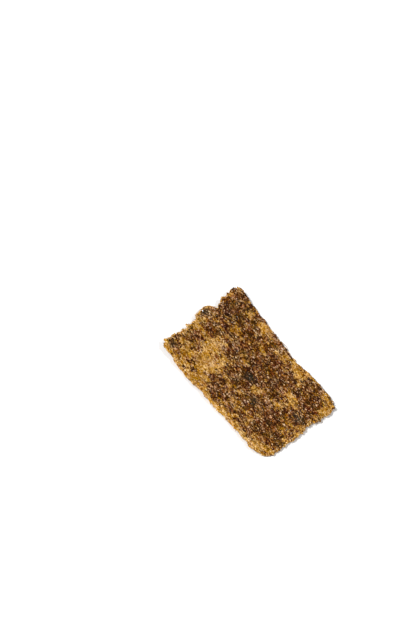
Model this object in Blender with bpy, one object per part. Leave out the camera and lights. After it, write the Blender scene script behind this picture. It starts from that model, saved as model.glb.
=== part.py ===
"""One slab of dried ground-meat jerky, lying flat with its rough face up.

The slab is a pressed sheet of minced meat, cut and then dried: a rounded four-sided plan with one torn
end, which curls up, and a clumped surface. It is one solid. X runs along the slab from the torn end to the
cut end, Y runs across it and Z up, and the origin is under the middle of its bounding box, on the surface
that it lies on.
"""

import math

import bpy
import numpy as np
from mathutils import Vector

MM = 0.001

# Plan: the four sharp corners, in order round the slab, and how far from each one its rounding starts.
TORN_LEFT = (-43.4 * MM, -31.8 * MM)
TORN_RIGHT = (-47.4 * MM, 29.3 * MM)
CUT_RIGHT = (43.9 * MM, 29.2 * MM)
CUT_LEFT = (44.7 * MM, -28.9 * MM)
CORNERS = (TORN_LEFT, TORN_RIGHT, CUT_RIGHT, CUT_LEFT)
ROUNDING = (3.5 * MM, 4.5 * MM, 7.5 * MM, 13.0 * MM)

# Swells and bites of the outline: side, distance along it, how far out (or in), and half width.
TORN_END, RIGHT_SIDE, CUT_END, LEFT_SIDE = range(4)
OUTLINE_FEATURES = (
    (TORN_END, 19.0 * MM, -1.1 * MM, 8.0 * MM),
    (TORN_END, 33.0 * MM, 2.6 * MM, 7.0 * MM),
    (TORN_END, 41.3 * MM, -2.9 * MM, 2.2 * MM),
    (TORN_END, 56.0 * MM, 1.4 * MM, 2.4 * MM),
    (RIGHT_SIDE, 37.0 * MM, -1.4 * MM, 15.0 * MM),
    (RIGHT_SIDE, 55.0 * MM, -1.6 * MM, 7.5 * MM),
    (CUT_END, 12.0 * MM, -1.4 * MM, 0.9 * MM),
    (CUT_END, 22.5 * MM, -1.8 * MM, 4.5 * MM),
    (LEFT_SIDE, 20.5 * MM, -0.6 * MM, 9.0 * MM),
    (LEFT_SIDE, 66.0 * MM, 1.4 * MM, 17.0 * MM),
)
# The ragged wave: its depth on each side, and how many waves of each kind go once round the slab.
RAGGED_DEPTH = (0.50 * MM, 0.20 * MM, 0.45 * MM, 0.26 * MM)
RAGGED_WAVES = (17, 29, 41, 58, 71)
# Points along half a rounding, and along the straight run of a side.
CORNER_STEPS = 24
SIDE_STEPS = 160

# Thickness between the tops of the clumps on both faces, and how it thins towards two of the sides.
THICKNESS = 3.4 * MM
TORN_END_THINNING = 0.8 * MM
RIGHT_SIDE_THINNING = 0.7 * MM
# The rim bulges: each face stops short of the outline, and keeps this share of the thickness there.
RIM_INSET = 0.55 * MM
RIM_SHARE = 0.52

# Curl: how far the torn end stands off the surface, from where it starts, with more at three of the corners.
TORN_END_LIFT = 2.3 * MM
CURL_START = 12.0 * MM
CORNER_LIFTS = ((TORN_LEFT, 0.7 * MM), (TORN_RIGHT, 1.6 * MM), (CUT_RIGHT, 0.9 * MM))
CORNER_REACH = 15.0 * MM
# The rim's own slight lift, from a share of the way out, and the slanting wave on it.
RIM_START = 0.72
RIM_LIFT = 0.45 * MM
WAVE_HEIGHT = 0.40 * MM
WAVE_LENGTH = 37.0 * MM
WAVE_SLANT = 0.7

# Clumps of mince: their spacing along and across the slab, the share of a spacing that a clump's middle
# wanders, its reach both ways in spacings, its turn, and its least height as a share of the tallest.
CLUMP_LENGTH = 4.9 * MM
CLUMP_WIDTH = 3.5 * MM
CLUMP_WANDER = 0.6
CLUMP_REACH = (0.68, 0.66)
CLUMP_TURN = math.radians(46)
CLUMP_LEAST = 0.4
# Each face: how tall the clumps stand, and the share of that height at which the pressing cut them off flat.
CLUMP_HEIGHT_TOP = 1.35 * MM
PRESSED_TOP = 0.72
CLUMP_HEIGHT_UNDER = 1.0 * MM
PRESSED_UNDER = 0.36
CLUMP_TABLE_SIDE = 64
# The four clumps of the underside that stand on the surface and carry the slab.
FEET = ((-17.0 * MM, -19.0 * MM), (-17.0 * MM, 19.5 * MM), (31.0 * MM, 19.0 * MM), (31.0 * MM, -19.5 * MM))
TOP_SEED = 11
UNDER_SEED = 23
OUTLINE_SEED = 5

# Mesh: cells along and across each face.
CELLS_LONG = 58
CELLS_WIDE = 40

MEAT_COLOUR = (0.22, 0.105, 0.032, 1.0)
MEAT_ROUGHNESS = 0.55


def plan_outline():
    """The closed outline as points in order, with the place of each along its side.

    Each side is straight between its roundings, and each rounding is a quadratic curve whose control point is
    the sharp corner.
    """
    corners = np.array(CORNERS)
    points, sides, places = [], [], []
    for side in range(4):
        start, end = corners[side], corners[(side + 1) % 4]
        before, after = corners[side - 1], corners[(side + 2) % 4]
        length = np.linalg.norm(end - start)
        along = (end - start) / length
        first = start + along * ROUNDING[side]
        last = end - along * ROUNDING[(side + 1) % 4]
        entry = start + (before - start) / np.linalg.norm(before - start) * ROUNDING[side]
        leave = end + (after - end) / np.linalg.norm(after - end) * ROUNDING[(side + 1) % 4]
        half = np.linspace(0.5, 1.0, CORNER_STEPS)[:, None]
        opening = (1 - half) ** 2 * entry + 2 * half * (1 - half) * start + half**2 * first
        run = np.linspace(0.0, 1.0, SIDE_STEPS)[1:-1, None]
        straight = first + (last - first) * run
        half = np.linspace(0.0, 0.5, CORNER_STEPS)[:, None]
        closing = (1 - half) ** 2 * last + 2 * half * (1 - half) * end + half**2 * leave
        stretch = np.concatenate([opening, straight, closing])[:-1]
        points.append(stretch)
        sides.append(np.full(len(stretch), side))
        places.append((stretch - start) @ along)
    return np.concatenate(points), np.concatenate(sides), np.concatenate(places)


def outward_normals(points):
    """Unit normals of a closed outline that runs clockwise seen from above."""
    tangent = np.roll(points, -1, axis=0) - np.roll(points, 1, axis=0)
    normal = np.stack([-tangent[:, 1], tangent[:, 0]], axis=1)
    return normal / np.linalg.norm(normal, axis=1, keepdims=True)


def shaped_outline():
    """The outline moved out or in along its normal by its swells, its bites and a ragged wave, which is a sum
    of sines. It is one array of points for each side, and each ends on the next one's first point."""
    points, sides, places = plan_outline()
    out = np.zeros(len(points))
    for side, place, depth, half_width in OUTLINE_FEATURES:
        out += (sides == side) * depth * np.exp(-(((places - place) / half_width) ** 2))
    turn = np.arange(len(points)) / len(points) * 2 * math.pi
    phases = np.random.default_rng(OUTLINE_SEED).random(len(RAGGED_WAVES)) * 2 * math.pi
    wave = sum(np.sin(count * turn + phase) for count, phase in zip(RAGGED_WAVES, phases))
    depth = np.array(RAGGED_DEPTH)[sides]
    out += wave * depth / math.sqrt(len(RAGGED_WAVES))
    points = points + outward_normals(points) * out[:, None]
    shaped = []
    for side in range(4):
        own = points[sides == side]
        following = points[sides == (side + 1) % 4][:1]
        shaped.append(np.concatenate([own, following]))
    return shaped


def outline_at(shaped, side, share):
    """The outline's point at a share, from 0 to 1, of the length of each side."""
    found = np.zeros((len(share), 2))
    for number, stretch in enumerate(shaped):
        steps = np.linalg.norm(np.diff(stretch, axis=0), axis=1)
        travelled = np.concatenate([[0.0], np.cumsum(steps)]) / steps.sum()
        mine = side == number
        for axis in range(2):
            found[mine, axis] = np.interp(share[mine], travelled, stretch[:, axis])
    return found


def plan_points(across, along, shaped, inset=0.0):
    """Square grid coordinates, each from -1 to 1, carried to the slab's plan.

    A point lies on a ring, the larger of its two coordinates, and the ring is the outline scaled towards the
    middle, so the grid's rim is the outline itself. An inset draws every ring in by that distance at the rim.
    """
    ring = np.maximum(np.abs(across), np.abs(along))
    safe = np.maximum(ring, 1e-9)
    on_ends = np.abs(along) >= np.abs(across)
    end_side = np.where(along < 0, TORN_END, CUT_END)
    long_side = np.where(across > 0, RIGHT_SIDE, LEFT_SIDE)
    side = np.where(on_ends, end_side, long_side)
    forward = np.where(on_ends, across, along) / safe
    share = np.where((side == TORN_END) | (side == RIGHT_SIDE), forward, -forward) / 2 + 0.5
    rim = outline_at(shaped, side, share)
    reach = np.linalg.norm(rim, axis=1, keepdims=True)
    return rim * (1 - inset / reach) * ring[:, None]


def clump_table(seed):
    """Random numbers for the cells of a repeating grid: a clump's shift both ways, its height, its turn."""
    return np.random.default_rng(seed).random((CLUMP_TABLE_SIDE, CLUMP_TABLE_SIDE, 4))


def clumps(x, y, table, pressed):
    """A field of pressed domes, as depth below its flat top: the tallest of the paraboloids of the nine
    nearest cells, cut off at the pressed height, less that height."""
    column, row = np.floor(x / CLUMP_LENGTH), np.floor(y / CLUMP_WIDTH)
    tallest = np.zeros(len(x))
    for step_x in (-1, 0, 1):
        for step_y in (-1, 0, 1):
            cell_x, cell_y = column + step_x, row + step_y
            draw = table[cell_x.astype(int) % CLUMP_TABLE_SIDE, cell_y.astype(int) % CLUMP_TABLE_SIDE]
            middle = 0.5 + CLUMP_WANDER * (draw[:, :2] - 0.5)
            away_x = x / CLUMP_LENGTH - cell_x - middle[:, 0]
            away_y = y / CLUMP_WIDTH - cell_y - middle[:, 1]
            turn = (2 * draw[:, 3] - 1) * CLUMP_TURN
            long_way = away_x * np.cos(turn) + away_y * np.sin(turn)
            short_way = away_y * np.cos(turn) - away_x * np.sin(turn)
            bowl = 1 - (long_way / CLUMP_REACH[0]) ** 2 - (short_way / CLUMP_REACH[1]) ** 2
            dome = (CLUMP_LEAST + (1 - CLUMP_LEAST) * draw[:, 2]) * bowl
            tallest = np.maximum(tallest, dome)
    return np.minimum(tallest, pressed) - pressed


def lift(x, y, ring):
    """How far the underside stands off what the slab lies on: the torn end curls up from near the middle,
    three corners curl a little more, and the rim lifts in a shallow wave."""
    curl = np.clip((-x - CURL_START) / (abs(TORN_RIGHT[0]) - CURL_START), 0, 1) ** 2
    raised = TORN_END_LIFT * curl
    for corner, height in CORNER_LIFTS:
        away = np.hypot(x - corner[0], y - corner[1])
        raised = raised + height * np.exp(-((away / CORNER_REACH) ** 2))
    rim = np.clip((ring - RIM_START) / (1 - RIM_START), 0, 1) ** 2
    wave = np.sin(2 * math.pi * (x + WAVE_SLANT * y) / WAVE_LENGTH)
    return raised + rim * (RIM_LIFT + WAVE_HEIGHT * wave)


def thickness(x, y):
    """The slab's thickness, thinner towards the torn end and the right side."""
    to_torn = np.clip(-x / abs(TORN_RIGHT[0]), 0, 1) ** 3
    to_right = np.clip(y / TORN_RIGHT[1], 0, 1) ** 4
    return THICKNESS - TORN_END_THINNING * to_torn - RIGHT_SIDE_THINNING * to_right


def slab_vertices(along, across, shaped):
    """Top grid, underside grid and the bulging mid row of the rim, as one array of points."""
    ring = np.maximum(np.abs(along), np.abs(across))
    on_rim = ring > 1 - 1e-9
    plan = plan_points(across, along, shaped, RIM_INSET)
    x, y = plan[:, 0], plan[:, 1]
    under = lift(x, y, ring)
    depth = thickness(x, y)
    middle = under + depth / 2
    top = under + depth + CLUMP_HEIGHT_TOP * clumps(x, y, clump_table(TOP_SEED), PRESSED_TOP)
    bottom = under - CLUMP_HEIGHT_UNDER * clumps(x, y, clump_table(UNDER_SEED), PRESSED_UNDER)
    for foot_x, foot_y in FEET:
        bottom[np.argmin(np.hypot(x - foot_x, y - foot_y))] = 0.0
    top[on_rim] = (middle + RIM_SHARE * (top - middle))[on_rim]
    bottom[on_rim] = (middle - RIM_SHARE * (middle - bottom))[on_rim]
    rim_plan = plan_points(across[on_rim], along[on_rim], shaped)
    return (
        np.column_stack([x, y, top]),
        np.column_stack([x, y, bottom]),
        np.column_stack([rim_plan, middle[on_rim]]),
        on_rim,
    )


def rim_order(rows, columns):
    """Grid places of the rim, once round, in the direction from +X to +Y."""
    first = [(row, 0) for row in range(rows - 1)]
    second = [(rows - 1, column) for column in range(columns - 1)]
    third = [(row, columns - 1) for row in range(rows - 1, 0, -1)]
    fourth = [(0, column) for column in range(columns - 1, 0, -1)]
    return first + second + third + fourth


def slab_mesh():
    """The closed slab: a top grid, an underside grid that faces down, and two bands of faces at the rim."""
    rows, columns = CELLS_LONG + 1, CELLS_WIDE + 1
    along, across = np.meshgrid(np.linspace(-1, 1, rows), np.linspace(-1, 1, columns), indexing="ij")
    top, bottom, middle, on_rim = slab_vertices(along.ravel(), across.ravel(), shaped_outline())
    count = rows * columns
    middle_place = {int(place): 2 * count + number for number, place in enumerate(np.flatnonzero(on_rim))}
    faces = []
    for row in range(CELLS_LONG):
        for column in range(CELLS_WIDE):
            a = row * columns + column
            b, c, d = a + columns, a + columns + 1, a + 1
            faces.append((a, b, c, d))
            faces.append((count + d, count + c, count + b, count + a))
    round_rim = [row * columns + column for row, column in rim_order(rows, columns)]
    for here, there in zip(round_rim, round_rim[1:] + round_rim[:1]):
        mid_here, mid_there = middle_place[here], middle_place[there]
        faces.append((there, here, mid_here, mid_there))
        faces.append((mid_there, mid_here, count + here, count + there))
    mesh = bpy.data.meshes.new("jerky_slab")
    mesh.from_pydata(np.concatenate([top, bottom, middle]).tolist(), [], faces)
    mesh.validate()
    return mesh


def meat_material():
    """Dried minced meat: dark golden brown with a low sheen."""
    material = bpy.data.materials.new("dried_meat")
    material.use_nodes = True
    shader = material.node_tree.nodes["Principled BSDF"]
    shader.inputs["Base Color"].default_value = MEAT_COLOUR
    shader.inputs["Roughness"].default_value = MEAT_ROUGHNESS
    return material


def centre_on_base(mesh):
    """Moves the mesh so that the origin is under the middle of its box, at its lowest point."""
    corners = np.array([vertex.co for vertex in mesh.vertices])
    low, high = corners.min(axis=0), corners.max(axis=0)
    shift = Vector((-(low[0] + high[0]) / 2, -(low[1] + high[1]) / 2, -low[2]))
    for vertex in mesh.vertices:
        vertex.co += shift


def make_slab():
    """The slab as one named object with its material."""
    mesh = slab_mesh()
    centre_on_base(mesh)
    mesh.shade_smooth()
    mesh.materials.append(meat_material())
    slab = bpy.data.objects.new("jerky_slab", mesh)
    bpy.context.scene.collection.objects.link(slab)
    return slab


def main():
    for old in list(bpy.data.objects):
        bpy.data.objects.remove(old)
    make_slab()


main()
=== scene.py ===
"""A slab of dried ground-meat jerky: its granular body, the bits and fibres on it, and a plain stage."""

import itertools
import math

import bpy
import numpy as np
from bpy.props import FloatProperty, FloatVectorProperty, IntProperty, PointerProperty
from mathutils import Euler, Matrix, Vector


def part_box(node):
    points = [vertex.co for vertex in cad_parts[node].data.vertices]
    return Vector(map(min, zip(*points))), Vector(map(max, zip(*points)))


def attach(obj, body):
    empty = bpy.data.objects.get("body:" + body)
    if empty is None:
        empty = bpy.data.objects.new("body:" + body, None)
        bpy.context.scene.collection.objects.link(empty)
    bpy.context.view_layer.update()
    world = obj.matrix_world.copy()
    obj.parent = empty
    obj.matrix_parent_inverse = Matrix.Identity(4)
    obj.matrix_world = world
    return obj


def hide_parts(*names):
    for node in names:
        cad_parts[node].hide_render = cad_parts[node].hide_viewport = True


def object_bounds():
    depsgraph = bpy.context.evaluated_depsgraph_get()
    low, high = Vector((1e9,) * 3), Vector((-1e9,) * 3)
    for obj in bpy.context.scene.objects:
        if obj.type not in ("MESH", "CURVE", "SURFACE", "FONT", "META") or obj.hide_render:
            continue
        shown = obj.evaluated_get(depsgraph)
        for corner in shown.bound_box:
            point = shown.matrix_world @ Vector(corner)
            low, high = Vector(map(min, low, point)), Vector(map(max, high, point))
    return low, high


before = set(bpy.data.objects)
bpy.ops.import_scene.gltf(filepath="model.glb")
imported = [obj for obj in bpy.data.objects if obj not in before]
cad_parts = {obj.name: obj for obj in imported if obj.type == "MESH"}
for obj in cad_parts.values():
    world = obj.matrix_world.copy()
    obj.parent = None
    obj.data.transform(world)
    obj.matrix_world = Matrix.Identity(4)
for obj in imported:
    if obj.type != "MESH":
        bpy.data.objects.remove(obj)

bl_info = {
    "name": "Jerky slab",
    "version": (1, 0, 0),
    "blender": (4, 5, 0),
    "location": "3D View > Sidebar > Jerky",
    "description": "Builds a slab of dried ground-meat jerky with its grains, flecks and fibres",
    "category": "Add Mesh",
}

MM = 0.001
CAD_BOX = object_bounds()
SLAB_NODE = "jerky_slab"
BODY_NAME = "jerky_body"
BODY_VALUES = ("tone", "grey", "fat")

# Plan, as the solid has it: the four sharp corners, in order round the slab, and where their rounding starts.
TORN_LEFT = (-43.4 * MM, -31.8 * MM)
TORN_RIGHT = (-47.4 * MM, 29.3 * MM)
CUT_RIGHT = (43.9 * MM, 29.2 * MM)
CUT_LEFT = (44.7 * MM, -28.9 * MM)
CORNERS = (TORN_LEFT, TORN_RIGHT, CUT_RIGHT, CUT_LEFT)
ROUNDING = (3.5 * MM, 4.5 * MM, 7.5 * MM, 13.0 * MM)

# Swells and bites of the outline: side, distance along it, how far out (or in), and half width.
TORN_END, RIGHT_SIDE, CUT_END, LEFT_SIDE = range(4)
OUTLINE_FEATURES = (
    (TORN_END, 19.0 * MM, -1.1 * MM, 8.0 * MM),
    (TORN_END, 33.0 * MM, 2.6 * MM, 7.0 * MM),
    (TORN_END, 41.3 * MM, -2.9 * MM, 2.2 * MM),
    (TORN_END, 56.0 * MM, 1.4 * MM, 2.4 * MM),
    (RIGHT_SIDE, 37.0 * MM, -1.4 * MM, 15.0 * MM),
    (RIGHT_SIDE, 55.0 * MM, -1.6 * MM, 7.5 * MM),
    (CUT_END, 12.0 * MM, -1.4 * MM, 0.9 * MM),
    (CUT_END, 22.5 * MM, -1.8 * MM, 4.5 * MM),
    (LEFT_SIDE, 20.5 * MM, -0.6 * MM, 9.0 * MM),
    (LEFT_SIDE, 66.0 * MM, 1.4 * MM, 17.0 * MM),
)
# The ragged wave: its depth on each side, and how many waves of each kind go once round the slab.
RAGGED_DEPTH = (0.50 * MM, 0.20 * MM, 0.45 * MM, 0.26 * MM)
RAGGED_WAVES = (17, 29, 41, 58, 71)
CORNER_STEPS = 24
SIDE_STEPS = 160

# Thinning towards two of the sides, and the curl of the torn end, its corners and the rim.
TORN_END_THINNING = 0.8 * MM
RIGHT_SIDE_THINNING = 0.7 * MM
RIM_INSET = 0.55 * MM
RIM_SHARE = 0.52
RIM_ROUNDING = 1.5 * MM
CURL_START = 12.0 * MM
CORNER_LIFTS = ((TORN_LEFT, 0.7 * MM), (TORN_RIGHT, 1.6 * MM), (CUT_RIGHT, 0.9 * MM))
CORNER_REACH = 15.0 * MM
RIM_START = 0.72
RIM_LIFT = 0.45 * MM
WAVE_HEIGHT = 0.40 * MM
WAVE_LENGTH = 37.0 * MM
WAVE_SLANT = 0.7

# Clumps of mince, as the solid has them.
CLUMP_LENGTH = 4.9 * MM
CLUMP_WIDTH = 3.5 * MM
CLUMP_WANDER = 0.6
CLUMP_REACH = (0.68, 0.66)
CLUMP_TURN = math.radians(46)
CLUMP_LEAST = 0.4
CLUMP_HEIGHT_TOP = 1.35 * MM
PRESSED_TOP = 0.72
CLUMP_HEIGHT_UNDER = 1.0 * MM
PRESSED_UNDER = 0.36
CLUMP_TABLE_SIDE = 64
TOP_SEED = 11
UNDER_SEED = 23
OUTLINE_SEED = 5

# Lumps of mince, in cells: how far a lump strays, its least size and what is added at random, the height that
# counts as full, and how wide the crease between two is. Then the salts of their random numbers.
LUMP_WANDER = 0.8
LUMP_LEAST = 0.45
LUMP_MORE = 0.35
LUMP_FULL = 0.7
CREASE_WIDTH = 0.22
GRAIN_SALT, CRUMB_SALT, CLUMP_SALT = 41, 42, 43
CLUMP_TONE_SIZE = 3.6 * MM

# What makes a cell's three numbers positive, the large odd numbers that mix them and their salt, and the
# shifts and factors that follow.
CELL_BASE = 1 << 20
CELL_FACTORS = (0x9E3779B1, 0x85EBCA77, 0xC2B2AE3D)
SALT_FACTOR = 0x27D4EB2F
MIX_STEPS = ((15, 0x2C1B3C6D), (12, 0x297A2D39))
LAST_SHIFT = 15

# Pale, dark and greyish places of the shown face, in millimetres: x, y, half length, half width, strength.
# The greyish places are painted reflection, the sheen of the light on smooth dark zones.
PALE_PLACES = (
    (-24, -5, 5.5, 7, 0.6),
    (-17, -16, 5, 6, 0.7),
    (-9, -27, 17, 2.6, 0.3),
    (-26, -27, 8, 3.5, 0.32),
    # Made paler also to offset the shade that the key light leaves near the right side: partly painted light.
    (-17, 26, 5, 3.2, 0.7),
    (-42, -9, 2.4, 8, 0.3),
    (-21, 4, 6, 4, 0.24),
    (28, 11.2, 9, 2.8, 0.44),
    (25, 3, 3, 3, 0.26),
    (11, -3.5, 4.5, 2.6, 0.6),
    (-12, -8, 4, 6, 0.22),
    (18, 26, 3, 3.5, 0.34),
    (12, 20, 3.5, 3, 0.26),
    (43, 22, 2.8, 7, 0.56),
    (22, -28, 18, 2.6, 0.34),
    (39, -22.5, 5.5, 4, 0.48),
    (-24, -21, 4, 3, 0.3),
    (23, 20, 3, 3, 0.3),
)
DARK_PLACES = (
    (-30, 8, 4, 3, 0.52),
    (-35, 17, 7.2, 6.5, 0.58),
    (-35, 1, 5, 5, 0.24),
    (-33, -9, 5.5, 7, 0.36),
    (-2, -4.8, 10, 6.2, 0.54),
    (-6, 9, 10, 5, 0.54),
    (8, 14, 11, 5.5, 0.54),
    (18, 6, 4, 6, 0.44),
    (34, 19, 8.5, 5, 0.72),
    (37.5, 8, 4.5, 4.9, 0.8),
    (30, 2, 3.2, 3, 0.4),
    (32, -12.6, 14, 6.9, 0.5),
    (14.8, -8.2, 4.2, 3.6, 0.5),
    (-17, 15.5, 5, 4, 0.3),
    (0, 20, 5, 3, 0.24),
    (17, 20, 4, 3, 0.28),
    (3, -0.5, 3.5, 3.0, 0.9),
    (-43, 3.5, 2, 2.5, 0.4),
    (-27, -15.5, 5, 3, 0.36),
    (6, -16, 3.5, 3, 0.26),
    (21, -4, 6, 2.6, 0.38),
    (40, -15, 4, 4, 0.3),
)
# Places of grey sheen: a painted reflection of the light on smooth dark zones, which also get fewer bits.
GREY_SHEEN_PLACES = (
    (-34, 14, 5, 4, 0.45),
    (-43, 3.5, 2, 2.5, 1),
    (3, -0.4, 3.7, 3.0, 1),
    (15.5, -7.5, 2.7, 2.5, 1),
    (37.5, 6.5, 3.6, 3, 1),
    (-37, -25, 2, 2.5, 0.8),
    (-3, -13, 3, 2.5, 0.4),
    (12, 9, 3, 2.5, 0.4),
)

# Drifts of fat through the lean: share, spacing along, across and up, and salt of the random numbers.
FAT_DRIFTS = (
    (0.24, (9.0 * MM, 6.0 * MM, 6.0 * MM), 3),
    (0.48, (4.6 * MM, 2.0 * MM, 3.0 * MM), 4),
    (0.28, (1.9 * MM, 0.9 * MM, 1.5 * MM), 5),
)
FAT_BEND = 4.0 * MM
FAT_BEND_SPACING = 5.0 * MM
FAT_BEND_SALTS = (6, 7)
FAT_THRESHOLD = 0.50
FAT_SOFTNESS = 0.08
FAT_FROM_PLACES = 0.50
FAT_FROM_PALE_LIT_RIM = 0.25

# The pale rim, a golden cut edge that is partly painted light: it ends before the right side, which faces
# away from the key light. How wide it is, and where across the slab it ends and starts to fade.
PALE_LIT_RIM_WIDTH = 1.5 * MM
PALE_LIT_RIM_END = 22 * MM
PALE_LIT_RIM_FADE = 8 * MM
# Places count only from this height up, in millimetres, so that the underside has none.
PLACE_BASE = 0.6

# The tone, from 0 in deep gaps to 1: lean's own, what fat, places, the pale rim and lumps add, and what
# creases take as painted shade.
TONE_OF_LEAN = 0.215
TONE_FROM_FAT = 0.21
TONE_FROM_PLACES = 0.205
TONE_FROM_PALE_LIT_RIM = 0.16
TONE_FROM_CLUMPS = 0.10
TONE_FROM_GRAINS = 0.20
GRAIN_CREASE_SHADE = 0.16
CRUMB_CREASE_SHADE = 0.10
FAT_CALM = 0.5

# Small bits: seeds, stray from their places, spread of sizes, and length as a share of width.
LEAN_SEED, FAT_SEED, SPECK_SEED, FIBRE_SEED, CRUMB_SEED = 71, 72, 73, 74, 75
BIT_STRAY = 0.12 * MM
BIT_SPREAD = 0.32
BIT_LENGTH_LEAST = 1.2
BIT_LENGTH_MORE = 1.1
# The facing below which the surface is underside, the underside's share of bits, and the thinning on the
# grey-sheen places.
UNDERSIDE_FACING = -0.3
UNDERSIDE_SHARE = 0.15
GREY_SHEEN_THINNING = 0.85
# A grain's corners: least reach and what is added at random. Then how far grains turn off the slab's length.
CORNER_LEAST = 0.72
CORNER_MORE = 0.5
GRAIN_TURN = 0.7

# Fibres: rings along one, its taper, width and height, and spreads of heading, bend, length and width. Then
# the least facing and height where they lie, and the grid of heights that they are laid on.
FIBRE_RINGS = 6
FIBRE_TAPER = 0.65
FIBRE_WIDE = 1.2
FIBRE_HIGH = 0.9
FIBRE_HEADING = 0.55
FIBRE_BEND = 0.8
FIBRE_LENGTHS = 0.4
FIBRE_WIDTHS = 0.25
FIBRE_FACING = 0.4
FIBRE_BASE = 1.2 * MM
TOP_FACING = 0.1
TOP_CELL = 0.45 * MM
TOP_SPREADS = 2

# The meat's material: how crumbs are drawn out along the slab, and its dust, strands and patches. Then how
# far crumbs, dust, the dark gaps at the crumbs' edges, which are painted shade, and strands shift the tone
# from their mean, how much less they do in fat, and the tone added everywhere.
DRAWN_OUT = (0.48, 1.0, 1.0)
DUST_SIZE = 0.42 * MM
STRAND_SIZE = 1.3 * MM
STRAND_SHARPNESS = 18.0
PATCH_SIZE = 2.6 * MM
NOISE_ROUGHNESS = 0.6
CRUMB_MEAN = 0.33
STRAND_MEAN = 0.20
CRUMB_SHIFT = 1.05
DUST_SHIFT = 0.85
GAP_SHADE_SHIFT = 0.4
STRAND_SHIFT = 0.32
SHIFT_IN_LEAN = 1.1
SHIFT_LOST_IN_FAT = 0.33
TONE_ADDED = 0.07
# How golden the meat is: least, and what fat, crumbs and patches add.
GOLD_LEAST = 0.16
GOLD_FROM_FAT = 0.75
GOLD_FROM_CRUMBS = 0.6
GOLD_FROM_PATCHES = 2.2
# Saturation: least, and what fat, crumbs and patches add. Then the hue, its turn in lean and how much less it
# turns in fat.
FRESH_LEAST = 0.95
FRESH_FROM_FAT = 0.03
FRESH_FROM_CRUMBS = 0.16
FRESH_FROM_PATCHES = 0.4
HUE_MIDDLE = 0.5015
HUE_TURN = 0.12
HUE_TURN_LOST = 0.07
HUE_TURN_START = 1.1
# Grey-sheen places, a painted reflection of the light on smooth dark zones, are wholly grey up to a dark
# tone, and lose it with this slope above.
GREY_SHEEN_START = 1.25
GREY_SHEEN_SLOPE = 1.1
# The finish: depth of the bump and what crumbs and dust add to it, the roughness, and the coat, which only
# the crumbs with the highest random number have.
BUMP_DISTANCE = 0.35 * MM
BUMP_FROM_CRUMBS = 0.6
BUMP_FROM_DUST = 0.5
ROUGHNESS_LEAST = 0.35
ROUGHNESS_MORE = 0.4
COAT_STEEPNESS = 8.0
COAT_START = 6.9
COAT_ROUGHNESS = 0.16

# The stage: half the floor's side in metres, its grain for each metre and its wear, the film's width in
# millimetres, and the directions and spreads of both lamps.
FLOOR_HALF = 6.0
FLOOR_GRAIN = 400.0
FLOOR_WORN = 0.985
FILM_WIDTH = 36.0
KEY_PLACE = (-0.35, -0.65, 1.05)
SPARK_PLACE = (0.30, 0.30, 0.90)
KEY_SPREAD = math.radians(12.0)
SPARK_SPREAD = math.radians(3.0)

# The twelve corners of a regular icosahedron, the plain form of a grain, and how much longer than the
# shortest distance two corners may be apart and still share an edge.
EDGE_SLACK = 1.1
GOLDEN = (1 + math.sqrt(5)) / 2
GRAIN_CORNERS = np.array(
    [(0, a, b * GOLDEN) for a in (-1, 1) for b in (-1, 1)]
    + [(a, b * GOLDEN, 0) for a in (-1, 1) for b in (-1, 1)]
    + [(b * GOLDEN, 0, a) for a in (-1, 1) for b in (-1, 1)],
    float,
) / math.hypot(1, GOLDEN)


def length_setting(name, description, default):
    """A setting that is a length in metres."""
    return FloatProperty(name=name, description=description, default=default, min=0, unit="LENGTH")


def colour_setting(name, description, default):
    """A setting that is a linear colour."""
    return FloatVectorProperty(name=name, description=description, default=default, subtype="COLOR", size=3)


class SlabShape(bpy.types.PropertyGroup):
    """Sizes of the slab's body and of the relief on it."""

    thickness: length_setting("Thickness", "Between the clump tops of both faces", 3.4 * MM)
    torn_end_lift: length_setting("Torn end lift", "How far the torn end curls up", 2.3 * MM)
    cell: length_setting("Cell", "Side of a mesh cell", 0.355 * MM)
    grain: length_setting("Grain", "Width of a grain", 1.7 * MM)
    grain_depth: length_setting("Grain depth", "Depth of the gaps between grains", 0.55 * MM)
    crumb: length_setting("Crumb", "Width of a crumb", 0.85 * MM)
    crumb_depth: length_setting("Crumb depth", "Depth of the gaps between crumbs", 0.26 * MM)
    stretch: FloatProperty(
        name="Stretch", description="How much longer grains are along the slab", default=1.5, min=1.0
    )


class Sprinkle(bpy.types.PropertyGroup):
    """Numbers and sizes of the loose-edged bits on the slab."""

    lean_count: IntProperty(name="Lean grains", description="Brown grains of lean meat", default=5000, min=0)
    lean_size: length_setting("Lean grain", "Mean width of a lean grain", 1.0 * MM)
    fat_count: IntProperty(name="Fat flecks", description="Pale flecks of dried fat", default=4200, min=0)
    fat_size: length_setting("Fat fleck", "Mean width of a fleck", 0.7 * MM)
    speck_count: IntProperty(name="Specks", description="Tiny pale specks", default=2400, min=0)
    speck_size: length_setting("Speck", "Mean width of a speck", 0.5 * MM)
    # Nearly black crumbs stand in for the shade in small pits: painted shade.
    pit_shade_crumb_count: IntProperty(name="Dark crumbs", description="Nearly black crumbs", default=700, min=0)
    pit_shade_crumb_size: length_setting("Dark crumb", "Mean width of a crumb", 0.6 * MM)
    fibre_count: IntProperty(name="Fibres", description="Short fibres of meat", default=3800, min=0)
    fibre_length: length_setting("Fibre length", "Mean length of a fibre", 4.2 * MM)
    fibre_width: length_setting("Fibre width", "Mean width of a fibre", 0.36 * MM)


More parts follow.
